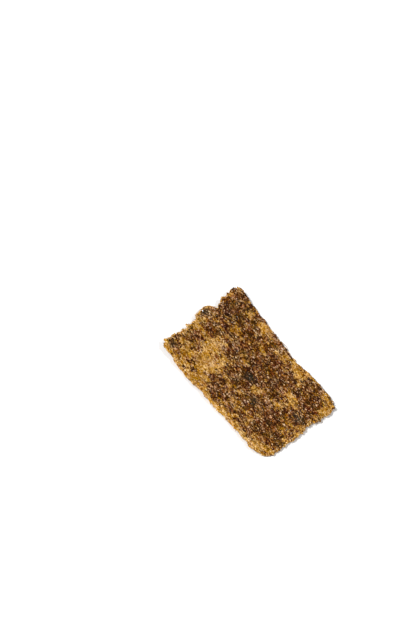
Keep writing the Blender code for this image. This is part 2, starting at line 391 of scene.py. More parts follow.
class MeatColours(bpy.types.PropertyGroup):
    """Colours of the dried meat: fat goes from the darkest colour to pale and lean from it to cream, as the
    tone rises. The darkest colour is also the painted shade in gaps, and cream also paints glints.
    """

    # The ramps' lowest colour: the darkest meat, and the painted shade in creases and gaps.
    gap: colour_setting("Gap", "Deep between grains", (0.036, 0.0095, 0.001))
    dark: colour_setting("Dark brown", "Darkest brown", (0.105, 0.0355, 0.0022))
    brown: colour_setting("Brown", "Brown meat", (0.18, 0.065, 0.0046))
    tan: colour_setting("Tan", "Dry tan meat", (0.307, 0.13, 0.0105))
    gold: colour_setting("Gold", "Golden dried fat", (0.515, 0.26, 0.0455))
    pale: colour_setting("Pale", "Palest fat", (0.79, 0.53, 0.24))
    maroon: colour_setting("Maroon", "Darkest lean", (0.088, 0.0265, 0.0024))
    mahogany: colour_setting("Mahogany", "Lean meat", (0.165, 0.049, 0.0072))
    rose: colour_setting("Rose tan", "Dry lean meat", (0.305, 0.123, 0.034))
    # The top of the lean ramp: sinew and pale crumbs, and also the colour of painted glints.
    cream_and_glint: colour_setting("Cream", "Sinew and pale crumbs", (0.7, 0.485, 0.325))
    # A dark grey for the sheen of the light on smooth dark zones: painted reflection.
    grey: colour_setting("Grey lean", "Greyish dark places", (0.024, 0.0175, 0.009))


class StageLook(bpy.types.PropertyGroup):
    """The floor, the lights and the camera."""

    floor: colour_setting("Floor", "Colour of the floor", (0.9, 0.9, 0.9))
    sky: FloatProperty(name="Sky", description="Strength of the even light all round", default=0.3, min=0)
    key: FloatProperty(
        name="Key", description="Strength of the soft light from the left", default=3.0, min=0
    )
    spark: FloatProperty(name="Spark", description="Strength of the sharper light behind", default=1.0, min=0)
    lens: FloatProperty(name="Lens", description="Focal length", default=85.0, min=1, unit="CAMERA")
    camera_place: FloatVectorProperty(
        name="Camera place", description="Where the camera stands", subtype="XYZ", unit="LENGTH", size=3,
        default=(0.1760, -0.3679, 0.7260),
    )
    camera_turn: FloatVectorProperty(
        name="Camera turn", description="How the camera is turned", subtype="EULER", unit="ROTATION", size=3,
        default=(math.radians(28.725), math.radians(-11.892), math.radians(50.994)),
    )


def plan_outline():
    """The closed outline as points in order, with the side of each and its place along that side.

    Each side is straight between its roundings, and each rounding is a quadratic curve whose control point is
    the sharp corner.
    """
    corners = np.array(CORNERS)
    points, sides, places = [], [], []
    for side in range(4):
        start, end = corners[side], corners[(side + 1) % 4]
        before, after = corners[side - 1], corners[(side + 2) % 4]
        along = (end - start) / np.linalg.norm(end - start)
        first = start + along * ROUNDING[side]
        last = end - along * ROUNDING[(side + 1) % 4]
        entry = start + (before - start) / np.linalg.norm(before - start) * ROUNDING[side]
        leave = end + (after - end) / np.linalg.norm(after - end) * ROUNDING[(side + 1) % 4]
        half = np.linspace(0.5, 1.0, CORNER_STEPS)[:, None]
        opening = (1 - half) ** 2 * entry + 2 * half * (1 - half) * start + half**2 * first
        run = np.linspace(0.0, 1.0, SIDE_STEPS)[1:-1, None]
        straight = first + (last - first) * run
        half = np.linspace(0.0, 0.5, CORNER_STEPS)[:, None]
        closing = (1 - half) ** 2 * last + 2 * half * (1 - half) * end + half**2 * leave
        stretch = np.concatenate([opening, straight, closing])[:-1]
        points.append(stretch)
        sides.append(np.full(len(stretch), side))
        places.append((stretch - start) @ along)
    return np.concatenate(points), np.concatenate(sides), np.concatenate(places)


def shaped_outline():
    """The outline moved out or in along its normal by its swells, its bites and a ragged wave, which is a sum
    of sines. It is one array of points for each side, and each ends on the next one's first point."""
    points, sides, places = plan_outline()
    out = np.zeros(len(points))
    for side, place, depth, half_width in OUTLINE_FEATURES:
        out += (sides == side) * depth * np.exp(-(((places - place) / half_width) ** 2))
    turn = np.arange(len(points)) / len(points) * 2 * math.pi
    phases = np.random.default_rng(OUTLINE_SEED).random(len(RAGGED_WAVES)) * 2 * math.pi
    wave = sum(np.sin(count * turn + phase) for count, phase in zip(RAGGED_WAVES, phases))
    out += wave * np.array(RAGGED_DEPTH)[sides] / math.sqrt(len(RAGGED_WAVES))
    tangent = np.roll(points, -1, axis=0) - np.roll(points, 1, axis=0)
    normal = np.stack([-tangent[:, 1], tangent[:, 0]], axis=1)
    points = points + normal / np.linalg.norm(normal, axis=1, keepdims=True) * out[:, None]
    shaped = []
    for side in range(4):
        following = points[sides == (side + 1) % 4][:1]
        shaped.append(np.concatenate([points[sides == side], following]))
    return shaped


def outline_at(shaped, side, share):
    """The outline's point at a share, from 0 to 1, of the length of each side."""
    found = np.zeros((len(share), 2))
    for number, stretch in enumerate(shaped):
        steps = np.linalg.norm(np.diff(stretch, axis=0), axis=1)
        travelled = np.concatenate([[0.0], np.cumsum(steps)]) / steps.sum()
        mine = side == number
        for axis in range(2):
            found[mine, axis] = np.interp(share[mine], travelled, stretch[:, axis])
    return found


def plan_points(across, along, shaped, inset):
    """Square grid coordinates, each from -1 to 1, carried to the slab's plan.

    A point lies on a ring, the larger of its two coordinates, and the ring is the outline, drawn in by the
    inset at the rim and scaled towards the middle.
    """
    ring = np.maximum(np.abs(across), np.abs(along))
    safe = np.maximum(ring, 1e-9)
    on_ends = np.abs(along) >= np.abs(across)
    end_side = np.where(along < 0, TORN_END, CUT_END)
    long_side = np.where(across > 0, RIGHT_SIDE, LEFT_SIDE)
    side = np.where(on_ends, end_side, long_side)
    forward = np.where(on_ends, across, along) / safe
    share = np.where((side == TORN_END) | (side == RIGHT_SIDE), forward, -forward) / 2 + 0.5
    rim = outline_at(shaped, side, share)
    reach = np.linalg.norm(rim, axis=1)
    return rim * ((1 - inset / reach) * ring)[:, None], reach * (1 - ring)


def clumps(x, y, seed, pressed):
    """A field of pressed domes, as depth below its flat top: the tallest of the paraboloids of the nine
    nearest cells, cut off at the pressed height, less that height. A table gives each cell's clump."""
    table = np.random.default_rng(seed).random((CLUMP_TABLE_SIDE, CLUMP_TABLE_SIDE, 4))
    column, row = np.floor(x / CLUMP_LENGTH), np.floor(y / CLUMP_WIDTH)
    tallest = np.zeros(len(x))
    for step_x in (-1, 0, 1):
        for step_y in (-1, 0, 1):
            cell_x, cell_y = column + step_x, row + step_y
            draw = table[cell_x.astype(int) % CLUMP_TABLE_SIDE, cell_y.astype(int) % CLUMP_TABLE_SIDE]
            middle = 0.5 + CLUMP_WANDER * (draw[:, :2] - 0.5)
            away_x = x / CLUMP_LENGTH - cell_x - middle[:, 0]
            away_y = y / CLUMP_WIDTH - cell_y - middle[:, 1]
            turn = (2 * draw[:, 3] - 1) * CLUMP_TURN
            long_way = away_x * np.cos(turn) + away_y * np.sin(turn)
            short_way = away_y * np.cos(turn) - away_x * np.sin(turn)
            bowl = 1 - (long_way / CLUMP_REACH[0]) ** 2 - (short_way / CLUMP_REACH[1]) ** 2
            dome = (CLUMP_LEAST + (1 - CLUMP_LEAST) * draw[:, 2]) * bowl
            tallest = np.maximum(tallest, dome)
    return np.minimum(tallest, pressed) - pressed


def lift(x, y, ring, torn_end_lift):
    """How far the underside stands off what the slab lies on: the torn end curls up as the square of the way
    out, three corners curl a little more, and the rim lifts in a shallow wave."""
    curl = np.clip((-x - CURL_START) / (abs(TORN_RIGHT[0]) - CURL_START), 0, 1) ** 2
    raised = torn_end_lift * curl
    for corner, height in CORNER_LIFTS:
        away = np.hypot(x - corner[0], y - corner[1])
        raised = raised + height * np.exp(-((away / CORNER_REACH) ** 2))
    rim = np.clip((ring - RIM_START) / (1 - RIM_START), 0, 1) ** 2
    wave = np.sin(2 * math.pi * (x + WAVE_SLANT * y) / WAVE_LENGTH)
    return raised + rim * (RIM_LIFT + WAVE_HEIGHT * wave)


def draws(cells, salt, count):
    """Repeatable random numbers from 0 to 1 for whole-number cells: a cell's numbers are multiplied by large
    odd numbers and added, and the sum is mixed again and again by shifts and products."""
    mask = np.uint64(0xFFFFFFFF)
    cells = (cells + CELL_BASE).astype(np.uint64)
    mixed = np.full(len(cells), salt * SALT_FACTOR, np.uint64)
    for axis, factor in enumerate(CELL_FACTORS):
        mixed += cells[:, axis] * np.uint64(factor)
    mixed &= mask
    found = np.empty((len(cells), count))
    for number in range(count):
        for shift, factor in MIX_STEPS:
            mixed = ((mixed ^ (mixed >> np.uint64(shift))) * np.uint64(factor)) & mask
        mixed = mixed ^ (mixed >> np.uint64(LAST_SHIFT))
        found[:, number] = mixed / float(mask)
    return found


def lumps(points, spacing, salt):
    """A field of rounded lumps, as (height, tone, crease).

    Each cell of a grid holds one lump, a paraboloid: its own size less the squared distance in cells. The
    tallest of the twenty-seven nearest wins, and gives its height, from 0 to 1, and its own random tone. The
    crease is 1 where two lumps meet and 0 well inside one.
    """
    place = points / np.asarray(spacing)
    corner = np.floor(place).astype(np.int64)
    first = np.full(len(points), -1.0)
    second = first.copy()
    tone = np.zeros(len(points))
    steps = [(i, j, k) for i in (-1, 0, 1) for j in (-1, 0, 1) for k in (-1, 0, 1)]
    for step in steps:
        cell = corner + np.array(step)
        draw = draws(cell, salt, 5)
        away = place - cell - 0.5 - LUMP_WANDER * (draw[:, :3] - 0.5)
        rise = LUMP_LEAST + LUMP_MORE * draw[:, 3] - (away**2).sum(axis=1)
        higher = rise > first
        second = np.where(higher, first, np.maximum(second, rise))
        tone = np.where(higher, draw[:, 4], tone)
        first = np.where(higher, rise, first)
    return np.clip(first / LUMP_FULL, 0, 1), tone, 1 - np.clip((first - second) / CREASE_WIDTH, 0, 1)


def drift(points, spacing, salt):
    """Smooth noise from 0 to 1: random numbers at a grid's corners, blended by a smooth step each way."""
    place = points / np.asarray(spacing)
    corner = np.floor(place).astype(np.int64)
    part = place - corner
    part = part * part * (3 - 2 * part)
    total = np.zeros(len(points))
    for step in [(i, j, k) for i in (0, 1) for j in (0, 1) for k in (0, 1)]:
        share = np.prod(np.where(np.array(step) == 1, part, 1 - part), axis=1)
        total += share * draws(corner + np.array(step), salt, 1)[:, 0]
    return total


def near_place(points, x, y, half_length, half_width):
    """How near points are to a place, from 0 to 1: the exponential of minus their distance cubed, in half
    lengths and half widths. It fades to nothing towards the underside."""
    away = np.hypot((points[:, 0] / MM - x) / half_length, (points[:, 1] / MM - y) / half_width)
    return np.exp(-(away**3)) * np.clip(points[:, 2] / MM - PLACE_BASE, 0, 1)


def fatness(points, places, rim):
    """Where the meat is golden fat, 1, or dark lean, 0: three sizes of drift, stretched along the slab and
    bent by a fourth, and the named places and the rim push them over or under a soft threshold."""
    bends = [FAT_BEND * (drift(points, (FAT_BEND_SPACING,) * 3, salt) - 0.5) for salt in FAT_BEND_SALTS]
    bent = points + np.stack([*bends, np.zeros(len(points))], axis=1)
    level = sum(part * drift(bent, spacing, salt) for part, spacing, salt in FAT_DRIFTS)
    level = level + FAT_FROM_PLACES * places + FAT_FROM_PALE_LIT_RIM * rim
    share = np.clip((level - FAT_THRESHOLD) / FAT_SOFTNESS, 0, 1)
    return share * share * (3 - 2 * share)


def all_places(points, places):
    """The strengths of places added up at points, each times how near the place is."""
    return sum(strength * near_place(points, *place) for *place, strength in places)


def pale_and_lit_rim(points, rim_distance):
    """1 on the rim and 0 from the pale rim's width inside it, on all sides but the right one. The pale rim is
    partly golden cut edge and partly painted light, as the right side faces away from the key light.
    """
    left = np.clip((PALE_LIT_RIM_END - points[:, 1]) / PALE_LIT_RIM_FADE, 0, 1)
    return np.clip(1 - rim_distance / PALE_LIT_RIM_WIDTH, 0, 1) * left


def rim_places(rows, columns):
    """Grid places of the rim, once round, from the corner at the start of the left side."""
    place = np.arange(rows * columns).reshape(rows, columns)
    return np.concatenate([place[:-1, 0], place[-1, :-1], place[:0:-1, -1], place[0, :0:-1]])


def slab_surface(shape):
    """The slab's closed surface before its grains: points and faces, with each point's distance from the rim.

    The top and the underside are grids of rings. Near the rim each face falls off as a quarter ellipse, and
    the rim between them is a half ellipse carried round the outline.
    """
    low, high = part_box(SLAB_NODE)
    rows = int((high.x - low.x) / shape.cell) + 1
    columns = int((high.y - low.y) / shape.cell) + 1
    along, across = np.meshgrid(np.linspace(-1, 1, rows), np.linspace(-1, 1, columns), indexing="ij")
    along, across = along.ravel(), across.ravel()
    shaped = shaped_outline()
    ring = np.maximum(np.abs(along), np.abs(across))
    plan, distance = plan_points(across, along, shaped, RIM_INSET)
    x, y = plan[:, 0], plan[:, 1]
    under = lift(x, y, ring, shape.torn_end_lift)
    depth = shape.thickness - TORN_END_THINNING * np.clip(-x / abs(TORN_RIGHT[0]), 0, 1) ** 3
    depth -= RIGHT_SIDE_THINNING * np.clip(y / TORN_RIGHT[1], 0, 1) ** 4
    middle = under + depth / 2
    top = under + depth + CLUMP_HEIGHT_TOP * clumps(x, y, TOP_SEED, PRESSED_TOP)
    bottom = under - CLUMP_HEIGHT_UNDER * clumps(x, y, UNDER_SEED, PRESSED_UNDER)
    fall = np.clip(1 - distance / RIM_ROUNDING, 0, 1)
    share = RIM_SHARE + (1 - RIM_SHARE) * np.sqrt(1 - fall**2)
    top = middle + share * (top - middle)
    bottom = middle - share * (middle - bottom)
    rim = rim_places(rows, columns)
    levels = max(3, int(shape.thickness * RIM_SHARE / shape.cell) + 3)
    outer, _ = plan_points(across[rim], along[rim], shaped, 0.0)
    bands = [np.column_stack([plan, top])]
    for level in range(1, levels):
        angle = math.pi * level / levels
        spot = plan[rim] + (outer - plan[rim]) * math.sin(angle)
        half = np.where(math.cos(angle) > 0, top[rim] - middle[rim], middle[rim] - bottom[rim])
        bands.append(np.column_stack([spot, middle[rim] + half * math.cos(angle)]))
    bands.append(np.column_stack([plan, bottom]))
    points = np.concatenate(bands)
    inside = np.concatenate([distance, np.zeros((levels - 1) * len(rim)), distance])
    place = np.arange(rows * columns).reshape(rows, columns)
    a, b, c, d = place[:-1, :-1], place[1:, :-1], place[1:, 1:], place[:-1, 1:]
    upper = np.stack([a, b, c, d], axis=-1).reshape(-1, 4)
    shift = len(points) - rows * columns
    rounds = [rim] + [rows * columns + level * len(rim) + np.arange(len(rim)) for level in range(levels - 1)]
    rounds.append(rim + shift)
    faces = [upper, upper[:, ::-1] + shift]
    for above, below in zip(rounds[:-1], rounds[1:]):
        faces.append(np.column_stack([np.roll(above, -1), above, below, np.roll(below, -1)]))
    return points, np.concatenate(faces), inside


def point_normals(points, faces):
    """Unit normals at the points: each quad's normal, the cross product of its diagonals, summed at its
    corners."""
    cross = np.cross(points[faces[:, 2]] - points[faces[:, 0]], points[faces[:, 3]] - points[faces[:, 1]])
    normal = np.zeros_like(points)
    for axis in range(3):
        for corner in range(4):
            normal[:, axis] += np.bincount(faces[:, corner], cross[:, axis], len(points))
    return normal / np.maximum(np.linalg.norm(normal, axis=1, keepdims=True), 1e-20)


def fit_to_frame(points):
    """Moves points so that their plan is centred on the solid's and their lowest one stands on its base."""
    low, high = points.min(axis=0), points.max(axis=0)
    box_low, box_high = (np.array(corner) for corner in CAD_BOX)
    shift = (box_low + box_high - low - high) / 2
    shift[2] = box_low[2] - low[2]
    return points + shift


def mesh_object(name, points, faces, values, material):
    """A smooth mesh object at the origin, with each named array as an attribute on its points."""
    mesh = bpy.data.meshes.new(name)
    corners = faces.shape[1]
    mesh.vertices.add(len(points))
    mesh.vertices.foreach_set("co", points.astype(np.float32).ravel())
    mesh.loops.add(faces.size)
    mesh.loops.foreach_set("vertex_index", faces.astype(np.int32).ravel())
    mesh.polygons.add(len(faces))
    mesh.polygons.foreach_set("loop_start", np.arange(0, faces.size, corners, dtype=np.int32))
    mesh.update(calc_edges=True)
    mesh.validate()
    for key, array in values.items():
        attribute = mesh.attributes.new(key, "FLOAT", "POINT")
        attribute.data.foreach_set("value", array.astype(np.float32))
    mesh.shade_smooth()
    mesh.materials.append(material)
    piece = bpy.data.objects.new(name, mesh)
    bpy.context.scene.collection.objects.link(piece)
    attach(piece, "root")
    return piece


def read_vectors(source, field):
    """One vector for each item of a mesh's points or normals, as an array."""
    found = np.empty(len(source) * 3, np.float32)
    source.foreach_get(field, found)
    return found.reshape(-1, 3).astype(float)


def read_surface():
    """The body's points and the normals there."""
    mesh = bpy.data.objects[BODY_NAME].data
    return read_vectors(mesh.vertices, "co"), read_vectors(mesh.vertex_normals, "vector")


def read_values():
    """The body's tone, grey sheen and fat at its points."""
    mesh = bpy.data.objects[BODY_NAME].data
    found = np.empty((len(BODY_VALUES), len(mesh.vertices)), np.float32)
    for row, key in zip(found, BODY_VALUES):
        mesh.attributes[key].data.foreach_get("value", row)
    return found.astype(float)


def bit_values(own, grey, fat, kept, corners):
    """The attributes of many small bits: the tone, grey sheen and fat of each kept one, repeated for its
    points.
    """
    picked = dict(zip(BODY_VALUES, (own, grey, fat)))
    return {key: np.repeat(value[kept], corners) for key, value in picked.items()}


class Socket:
    """A node's output that adds Math nodes when numbers or other outputs are added to it or multiply it."""

    def __init__(self, tree, output):
        self.tree = tree
        self.output = output

    def node(self, kind, settings=None, **inputs):
        """A new node of a kind, with its settings made first, then its sockets by name or number."""
        made = self.tree.nodes.new(kind)
        for key, value in (settings or {}).items():
            if key == "stops":
                fill_ramp(made, value)
            else:
                setattr(made, key, value)
        for key, value in inputs.items():
            numbered = key[0] == "_" and key[1:].isdigit()
            socket = made.inputs[int(key[1:]) if numbered else key.replace("_", " ")]
            if isinstance(value, Socket):
                self.tree.links.new(value.output, socket)
            else:
                socket.default_value = value
        return made

    def out(self, kind, settings=None, output=0, **inputs):
        """One output of a new node."""
        return Socket(self.tree, self.node(kind, settings, **inputs).outputs[output])

    def math(self, operation, one, two=0.0):
        """A Math node's result."""
        return self.out("ShaderNodeMath", {"operation": operation}, _0=one, _1=two)

    def __add__(self, other):
        return self.math("ADD", self, other)

    def __radd__(self, other):
        return self.math("ADD", other, self)

    def __sub__(self, other):
        return self.math("SUBTRACT", self, other)

    def __rsub__(self, other):
        return self.math("SUBTRACT", other, self)

    def __mul__(self, other):
        return self.math("MULTIPLY", self, other)

    def __rmul__(self, other):
        return self.math("MULTIPLY", other, self)

    def __pow__(self, other):
        return self.math("POWER", self, other)

    def clamp(self):
        """This, held between 0 and 1."""
        return self.out("ShaderNodeClamp", None, Value=self)

    def noise(self, size, detail, output=0):
        """Smooth noise of a size at the places that this gives, as a number, or as a colour from output 1."""
        settings = {"Vector": self, "Scale": 1 / size, "Detail": detail, "Roughness": NOISE_ROUGHNESS}
        return self.out("ShaderNodeTexNoise", None, output, **settings)

    def channels(self):
        """The three channels of this colour."""
        split = self.node("ShaderNodeSeparateColor", Color=self)
        return [Socket(self.tree, output) for output in split.outputs]

    def mix(self, one, two):
        """Colour one where this is 0 and colour two where it is 1."""
        return self.out("ShaderNodeMix", {"data_type": "RGBA"}, output=2, _0=self, _6=one, _7=two)


def fill_ramp(node, stops):
    """Gives a colour ramp its stops, each a position and a colour."""
    elements = node.color_ramp.elements
    while len(elements) < len(stops):
        elements.new(1.0)
    for element, (position, colour) in zip(elements, stops):
        element.position = position
        element.color = (*colour, 1.0)


def begin_material(name):
    """A new material's start: the material, its shader and a wrapped output to build expressions from."""
    material = bpy.data.materials.new(name)
    material.use_nodes = True
    tree = material.node_tree
    shader = tree.nodes["Principled BSDF"]
    coordinates = tree.nodes.new("ShaderNodeTexCoord")
    return material, shader, Socket(tree, coordinates.outputs["Object"])


def meat_material(name, colours, shine, fine, bump, speckle):
    """Dried mince: two ramps over the tone, one golden for fat and one red brown for lean, mixed by the fat
    and by patches. Fine crumbs, dust and strands shift the tone up and down by the speckle, and each crumb
    darkens towards its edge, which is painted shade in the gaps. A strand runs where smooth noise crosses its
    middle, and is pale in fat and dark in lean. The patches also turn the hue and the saturation a little.
    Grey-sheen places go dark grey where they are dark, a painted reflection of the light on smooth dark
    zones."""
    material, shader, place = begin_material(name)
    tree = material.node_tree
    tone, grey, fat = (
        place.out("ShaderNodeAttribute", {"attribute_name": key}, output=2) for key in BODY_VALUES
    )
    along = place.out("ShaderNodeMapping", {"vector_type": "POINT"}, Vector=place, Scale=DRAWN_OUT)
    crumbs = place.node("ShaderNodeTexVoronoi", {"voronoi_dimensions": "3D"}, Vector=along, Scale=1 / fine)
    middle = Socket(tree, crumbs.outputs["Distance"])
    first, second, third = Socket(tree, crumbs.outputs["Color"]).channels()
    dust = along.noise(DUST_SIZE, 3.0)
    waves = along.noise(STRAND_SIZE, 2.0)
    strand = (1.0 - STRAND_SHARPNESS * place.math("ABSOLUTE", waves - 0.5)).clamp()
    # Each crumb darkens towards its edge, where its bump falls away: painted shade in the gaps.
    flecks = CRUMB_SHIFT * (first**2.0 - CRUMB_MEAN) + DUST_SHIFT * (dust - 0.5) - GAP_SHADE_SHIFT * (middle**2.0)
    flecks = flecks + (strand - STRAND_MEAN) * (2 * STRAND_SHIFT * fat - STRAND_SHIFT)
    fleck = tone + speckle * flecks * (SHIFT_IN_LEAN - SHIFT_LOST_IN_FAT * fat) + TONE_ADDED
    fat_stops = (
        (0.0, colours.gap), (0.09, colours.dark), (0.23, colours.brown),
        (0.39, colours.tan), (0.62, colours.gold), (0.95, colours.pale),
    )
    lean_stops = (
        (0.0, colours.gap), (0.10, colours.maroon), (0.26, colours.mahogany),
        (0.5, colours.rose), (1.0, colours.cream_and_glint),
    )
    fleck = fleck.clamp()
    golden = place.out("ShaderNodeValToRGB", {"stops": fat_stops}, Fac=fleck)
    lean = place.out("ShaderNodeValToRGB", {"stops": lean_stops}, Fac=fleck)
    rich, ripe, yellow = along.noise(PATCH_SIZE, 3.0, output=1).channels()
    gold = GOLD_FROM_FAT * fat + GOLD_FROM_CRUMBS * (third - 0.5) + GOLD_FROM_PATCHES * (rich - 0.5)
    colour = (gold + GOLD_LEAST).clamp().mix(lean, golden)
    fresh = FRESH_LEAST + FRESH_FROM_FAT * fat + FRESH_FROM_CRUMBS * second
    fresh = fresh + FRESH_FROM_PATCHES * (ripe - 0.5)
    hue = HUE_MIDDLE + (HUE_TURN - HUE_TURN_LOST * fat) * (HUE_TURN_START - fleck) * (yellow - 0.5)
    colour = place.out("ShaderNodeHueSaturation", None, Hue=hue, Saturation=fresh, Color=colour)
    # On grey-sheen places the dark tones turn dark grey: painted reflection of the light.
    low = (grey * (GREY_SHEEN_START - fleck * GREY_SHEEN_SLOPE).clamp()).clamp()
    colour = low.mix(colour, (*colours.grey, 1.0))
    height = BUMP_FROM_CRUMBS * (1.0 - middle**2.0) + BUMP_FROM_DUST * dust
    normal = place.out("ShaderNodeBump", None, Height=height, Strength=bump, Distance=BUMP_DISTANCE)
    tree.links.new(colour.output, shader.inputs["Base Color"])
    roughness = ROUGHNESS_LEAST + ROUGHNESS_MORE * second
    coat = (second * COAT_STEEPNESS - COAT_START).clamp()
    tree.links.new(roughness.output, shader.inputs["Roughness"])
    tree.links.new(coat.output, shader.inputs["Coat Weight"])
    tree.links.new(normal.output, shader.inputs["Normal"])
    shader.inputs["Coat Roughness"].default_value = COAT_ROUGHNESS
    shader.inputs["Specular IOR Level"].default_value = shine
    return material


def grain_faces(count):
    """Faces of many grains: the twenty triples of a grain's corners that are one edge apart, facing out."""
    apart = np.linalg.norm(GRAIN_CORNERS[:, None] - GRAIN_CORNERS[None], axis=2)
    edge = apart[apart > 0].min()
    faces = []
    for a, b, c in itertools.combinations(range(len(GRAIN_CORNERS)), 3):
        if max(apart[a, b], apart[b, c], apart[a, c]) < edge * EDGE_SLACK:
            pa, pb, pc = GRAIN_CORNERS[[a, b, c]]
            out = np.dot(np.cross(pb - pa, pc - pa), pa + pb + pc) > 0
            faces.append((a, b, c) if out else (a, c, b))
    faces = np.array(faces)
    return (faces[None] + len(GRAIN_CORNERS) * np.arange(count)[:, None, None]).reshape(-1, 3)


def grain_points(places, normals, sizes, sink, generator):
    """Corners of many grains: an icosahedron with its corners drawn in or out, stretched to each size, turned
    about its normal, and sunk into the surface by a share of its height."""
    count = len(places)
    reach = CORNER_LEAST + CORNER_MORE * generator.random((count, len(GRAIN_CORNERS), 1))
    form = GRAIN_CORNERS[None] * reach * (sizes[:, None, :] / 2)
    turn = generator.normal(0.0, GRAIN_TURN, count)
    lengthwise = np.stack([np.cos(turn), np.sin(turn), np.zeros(count)], axis=1)
    lengthwise -= normals * (lengthwise * normals).sum(axis=1, keepdims=True)
    lengthwise /= np.linalg.norm(lengthwise, axis=1, keepdims=True)
    sideways = np.cross(normals, lengthwise)
    basis = np.stack([lengthwise, sideways, normals], axis=1)
    turned = np.einsum("nij,njk->nik", form, basis)
    middle = places + normals * (sizes[:, 2:] * (0.5 - sink))
    return middle[:, None] + turned


def inside_box(points):
    """Which grains have all their corners inside the solid's box."""
    low, high = (np.array(corner) for corner in CAD_BOX)
    return ((points >= low) & (points <= high)).all(axis=(1, 2))


def scatter(name, count, size, flatness, sink, seed, weigh, shade, material):
    """One piece of many grains on the body: places drawn by weight, sizes drawn round the mean, each grain
    with one tone."""
    surface, normals = read_surface()
    tone, grey, fat = read_values()
    generator = np.random.default_rng(seed)
    weight = weigh(fat) * np.where(normals[:, 2] > UNDERSIDE_FACING, 1.0, UNDERSIDE_SHARE)
    weight *= 1 - GREY_SHEEN_THINNING * np.clip(grey, 0, 1)
    chosen = generator.choice(len(surface), count, replace=False, p=weight / weight.sum())
    places = surface[chosen] + generator.normal(0.0, BIT_STRAY, (count, 3))
    width = size * np.exp(generator.normal(0.0, BIT_SPREAD, count))
    long_way = width * (BIT_LENGTH_LEAST + BIT_LENGTH_MORE * generator.random(count))
    sizes = np.stack([long_way, width, width * flatness], axis=1)
    corners = grain_points(places, normals[chosen], sizes, sink, generator)
    kept = inside_box(corners)
    own = shade(tone[chosen], generator.random(count))
    values = bit_values(own, grey[chosen], fat[chosen], kept, len(GRAIN_CORNERS))
    mesh_object(name, corners[kept].reshape(-1, 3), grain_faces(kept.sum()), values, material)


def top_heights():
    """Heights of the body's top on a square grid, as a function of x and y: the highest point in each cell,
    spread to cells with none, and read at the nearest cell."""
    surface, normals = read_surface()
    upper = surface[normals[:, 2] > TOP_FACING]
    low = upper.min(axis=0)
    places = ((upper - low) / TOP_CELL).astype(int)
    margin = TOP_SPREADS + 1
    grid = np.full(tuple(places.max(axis=0)[:2] + 1 + 2 * margin), -1.0)
    np.maximum.at(grid, (places[:, 0] + margin, places[:, 1] + margin), upper[:, 2])
    for _ in range(TOP_SPREADS):
        spread = np.max([np.roll(grid, step, axis) for axis in (0, 1) for step in (-1, 1)], axis=0)
        grid = np.where(grid < 0, spread, grid)

    def height_at(x, y):
        column = np.clip(np.floor((x - low[0]) / TOP_CELL).astype(int) + margin, 0, grid.shape[0] - 1)
        row = np.clip(np.floor((y - low[1]) / TOP_CELL).astype(int) + margin, 0, grid.shape[1] - 1)
        return grid[column, row]

    return height_at


def fibre_points(x, y, heading, bend, lengths, widths, height_at):
    """Points of many fibres: each path turns evenly as it goes and lies on the top, and carries a flat ring
    of four points that narrows to both ends."""
    share = np.linspace(-0.5, 0.5, FIBRE_RINGS)[None]
    angle = heading[:, None] + bend[:, None] * share
    step = lengths[:, None] / (FIBRE_RINGS - 1)
    step_x, step_y = np.cos(angle) * step, np.sin(angle) * step
    path_x = x[:, None] + np.cumsum(step_x, axis=1) - step_x * FIBRE_RINGS / 2
    path_y = y[:, None] + np.cumsum(step_y, axis=1) - step_y * FIBRE_RINGS / 2
    path_z = height_at(path_x, path_y)
    path_z[:, 1:-1] = (path_z[:, :-2] + path_z[:, 1:-1] + path_z[:, 2:]) / 3
    path = np.stack([path_x, path_y, path_z], axis=2)
    tangent = np.gradient(path, axis=1)
    tangent /= np.linalg.norm(tangent, axis=2, keepdims=True)
    sideways = np.cross((0.0, 0.0, 1.0), tangent)
    sideways /= np.linalg.norm(sideways, axis=2, keepdims=True)
    upwards = np.cross(tangent, sideways)
    narrow = (1 - FIBRE_TAPER * (2 * np.abs(share)) ** 2)[..., None] * widths[:, None, None] / 2
    wide, high = sideways * narrow * FIBRE_WIDE, upwards * narrow * FIBRE_HIGH
    return path[:, :, None] + np.stack([wide, high, -wide, -high], axis=2)


def fibre_faces(count):
    """Faces of many fibres: four sides between rings, and a cap at each end."""
    place = np.arange(FIBRE_RINGS * 4).reshape(FIBRE_RINGS, 4)
    after = np.roll(place, -1, axis=1)
    sides = np.stack([place[:-1], after[:-1], after[1:], place[1:]], axis=-1).reshape(-1, 4)
    one = np.concatenate([sides, place[:1, ::-1], place[-1:]])
    return (one[None] + place.size * np.arange(count)[:, None, None]).reshape(-1, 4)


def require_body(operator):
    """Raises an error for an operator that needs the body when it isn't there."""
    if BODY_NAME not in bpy.data.objects:
        raise RuntimeError(f"{operator.bl_label} needs {BODY_NAME}: build the body first")


